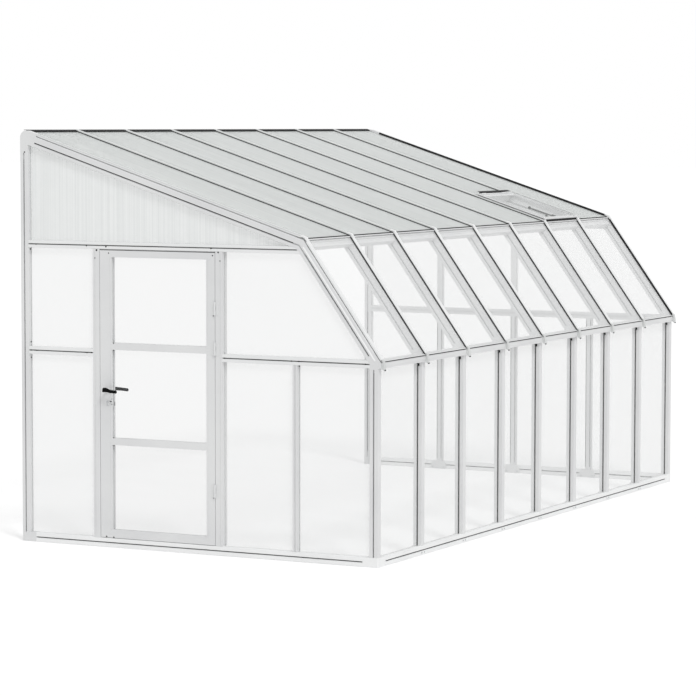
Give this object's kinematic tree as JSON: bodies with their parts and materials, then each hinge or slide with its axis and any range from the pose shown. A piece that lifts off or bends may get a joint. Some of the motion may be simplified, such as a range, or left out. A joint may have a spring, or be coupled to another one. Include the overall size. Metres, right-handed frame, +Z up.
{
  "type": "lean-to greenhouse",
  "caption": "Lean-to greenhouse of slotted white resin bars with clear walls, a bent glazed eave, a twin-wall roof, an outward-opening gable door with lever lock and a propped roof vent.",
  "frame": {"origin": "on the ground under the middle of the whole outline", "axes": "+X along the length, -X towards the gable with the door; +Y towards the house wall, -Y towards the low glazed front; +Z up"},
  "size_m": [4.9815, 2.602, 2.6493],
  "materials": {
    "resin": "smooth white resin",
    "cap": "white resin caps",
    "clear": "clear acrylic",
    "twinwall": "translucent twin-wall sheet",
    "gasket": "black extruded rubber",
    "black_metal": "black",
    "white_metal": "white powder coat",
    "steel": "brushed"
  },
  "bodies": {
    "frame": {"base_rails": "resin", "base_corners": "resin", "wall_feet": "resin", "post_feet": "resin", "foot_screws": "steel", "corner_posts": "resin", "front_posts": "resin", "wall_posts": "resin", "wall_header": "resin", "wall_flashing": "gasket", "top_corners": "resin", "eave_elbows": "resin", "eave_beam": "resin", "steep_bars": "resin", "bend_elbows": "resin", "bend_purlins": "resin", "rafters": "resin", "steep_caps": "cap", "roof_caps": "cap", "cap_hooks": "cap", "bend_knuckles": "cap", "near_rails": "resin", "near_mullion": "resin", "far_rails": "resin", "far_posts": "resin", "rail_screws": "steel", "door_jambs": "resin", "door_head": "resin", "door_sill": "resin", "door_seal": "gasket", "strike_plate": "steel", "hinge_frame_leaves": "white_metal", "hinge_pins": "steel", "front_panes": "clear", "steep_panes": "clear", "roof_sheets": "twinwall", "near_gable_panes": "clear", "far_gable_panes": "clear", "gable_triangles": "twinwall", "wall_gaskets": "gasket", "slope_gaskets": "gasket", "vent_curb": "resin", "stay_frame_bracket": "black_metal"},
    "door": {"door_stiles": "resin", "door_rails": "resin", "door_panes": "clear", "hinge_door_leaves": "white_metal", "lock_case": "steel", "lock_cylinder": "steel", "roses": "white_metal"},
    "lever": {"lever_handles": "black_metal", "spindle": "steel"},
    "latch": {"latch_bolt": "steel"},
    "key": {"key_plug": "steel"},
    "deadbolt": {"deadbolt": "steel"},
    "vent": {"vent_lid": "resin", "vent_pane": "twinwall", "stay_lid_bracket": "black_metal"},
    "stay_upper": {"stay_upper_link": "black_metal"},
    "stay_lower": {"stay_lower_link": "black_metal"}
  },
  "joints": [
    {"name": "door_hinge", "type": "hinge", "parent": "frame", "child": "door", "pos_m": [-2.43945, -0.132, 0], "axis": [0, 0, 1], "range_deg": [0, 100]},
    {"name": "lever_turn", "type": "hinge", "parent": "door", "child": "lever", "pos_m": [-2.41175, 0.6535, 1.001], "axis": [1, 0, 0], "range_deg": [0, 40], "stiffness_Nm_per_rad": 0.3, "springref_deg": -20.05},
    {"name": "latch_slide", "type": "slide", "parent": "door", "child": "latch", "axis": [0, -1, 0], "range_m": [0, 0.012]},
    {"name": "lock_turn", "type": "hinge", "parent": "door", "child": "key", "pos_m": [-2.41175, 0.6535, 0.929], "axis": [1, 0, 0], "continuous": true},
    {"name": "deadbolt_slide", "type": "slide", "parent": "door", "child": "deadbolt", "axis": [0, 1, 0], "range_m": [0, 0.02]},
    {"name": "vent_hinge", "type": "hinge", "parent": "frame", "child": "vent", "pos_m": [1.55325, -0.2191, 2.17911], "axis": [-1, 0, 0], "range_deg": [0, 27]},
    {"name": "stay_upper_fold", "type": "hinge", "parent": "vent", "child": "stay_upper", "pos_m": [1.55825, -0.69569, 2.01482], "axis": [-1, 0, 0], "range_deg": [0, 21.4]},
    {"name": "stay_lower_fold", "type": "hinge", "parent": "frame", "child": "stay_lower", "pos_m": [1.54825, -0.64808, 2.03008], "axis": [1, 0, 0], "range_deg": [0, 29.8]}
  ],
  "couplings": [
    {"joint": "latch_slide", "follows": "lever_turn", "m_per_rad": 0.017189},
    {"joint": "lock_turn", "follows": "deadbolt_slide", "rad_per_m": 314.16},
    {"joint": "stay_upper_fold", "follows": "vent_hinge", "ratio": 0.79},
    {"joint": "stay_lower_fold", "follows": "vent_hinge", "ratio": 1.1}
  ]
}
